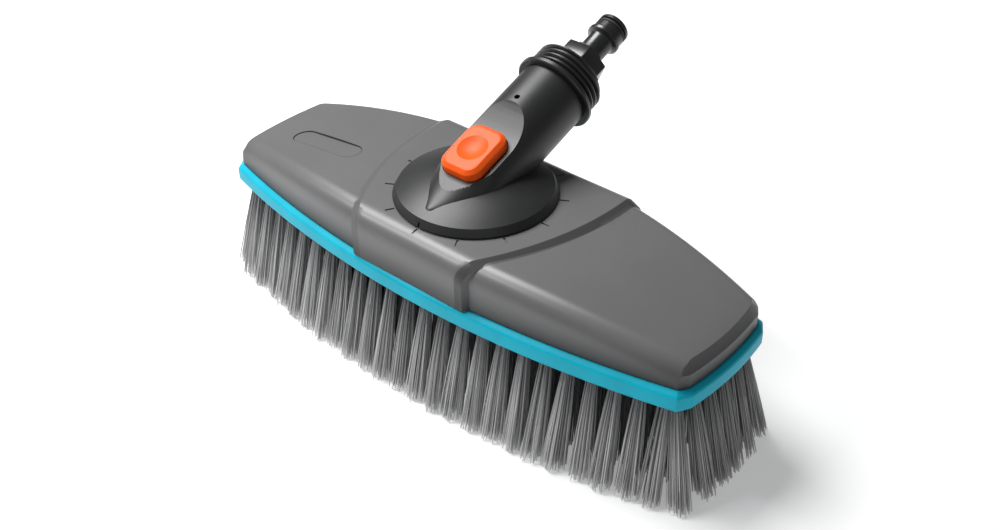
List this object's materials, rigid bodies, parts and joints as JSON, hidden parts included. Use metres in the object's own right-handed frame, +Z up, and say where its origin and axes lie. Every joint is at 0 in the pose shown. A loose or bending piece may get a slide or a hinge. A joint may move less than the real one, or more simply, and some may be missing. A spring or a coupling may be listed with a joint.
{
  "type": "water-fed wash brush head",
  "caption": "Long water-fed wash brush head: bristles under a cover with a soft bumper, and an indexing turret whose angled neck takes a handle and a hose.",
  "frame": {"origin": "on the turret's turning axis, in the plane of the bristle tips that the head rests on", "axes": "+X along the head, +Y the way the neck leans at rest, +Z up along the turret's turning axis"},
  "size_m": [0.2758, 0.1504, 0.1297],
  "materials": {
    "cover_grey": "fine moulded grain, satin matte",
    "bumper_turquoise": "smooth soft rubber",
    "plate_black": "matte moulding",
    "bristle_grey": "drawn filaments",
    "inner_white": "natural acetal",
    "seal_black": "seal rubber",
    "turret_black": "satin black moulding",
    "button_orange": "satin orange moulding",
    "steel": "stainless"
  },
  "bodies": {
    "head": {"cover": "cover_grey", "bumper": "bumper_turquoise", "bristle_plate": "plate_black", "manifold_gasket": "seal_black", "water_manifold": "plate_black", "jet_nozzles": "inner_white", "plate_screws": "steel", "detent_ring": "inner_white", "thrust_washer": "inner_white", "bristles_front_row": "bristle_grey", "bristles_back_row": "bristle_grey", "bristles_left_end": "bristle_grey", "bristles_right_end": "bristle_grey", "bristles_front_second": "bristle_grey", "bristles_back_second": "bristle_grey", "bristles_front_third": "bristle_grey", "bristles_back_third": "bristle_grey", "bristles_centre_row": "bristle_grey"},
    "turret": {"turret": "turret_black", "threaded_collar": "turret_black", "hose_nipple": "turret_black", "nipple_o_ring": "seal_black", "nipple_seat_ring": "seal_black", "inlet_strainer": "steel", "water_tube": "inner_white", "swivel_o_rings": "seal_black", "bolt_carrier": "plate_black", "carrier_screws": "steel", "retaining_clip": "steel", "button_springs": "steel", "bolt_spring": "steel"},
    "button": {"lock_button": "button_orange"},
    "bolt": {"lock_bolt": "steel"}
  },
  "joints": [
    {"name": "turret_turn", "type": "hinge", "parent": "head", "child": "turret", "pos_m": [0, 0, 0.081], "axis": [0, 0, 1], "continuous": true},
    {"name": "button_press", "type": "slide", "parent": "turret", "child": "button", "axis": [0, 0.3355, -0.9421], "range_m": [0, 0.003], "stiffness_N_per_m": 600, "springref_m": -0.003, "deforming": ["button_springs"]},
    {"name": "bolt_draw", "type": "slide", "parent": "turret", "child": "bolt", "axis": [0, 1, 0], "range_m": [0, 0.003], "deforming": ["bolt_spring"]}
  ],
  "couplings": [
    {"joint": "bolt_draw", "follows": "button_press", "ratio": 1}
  ]
}
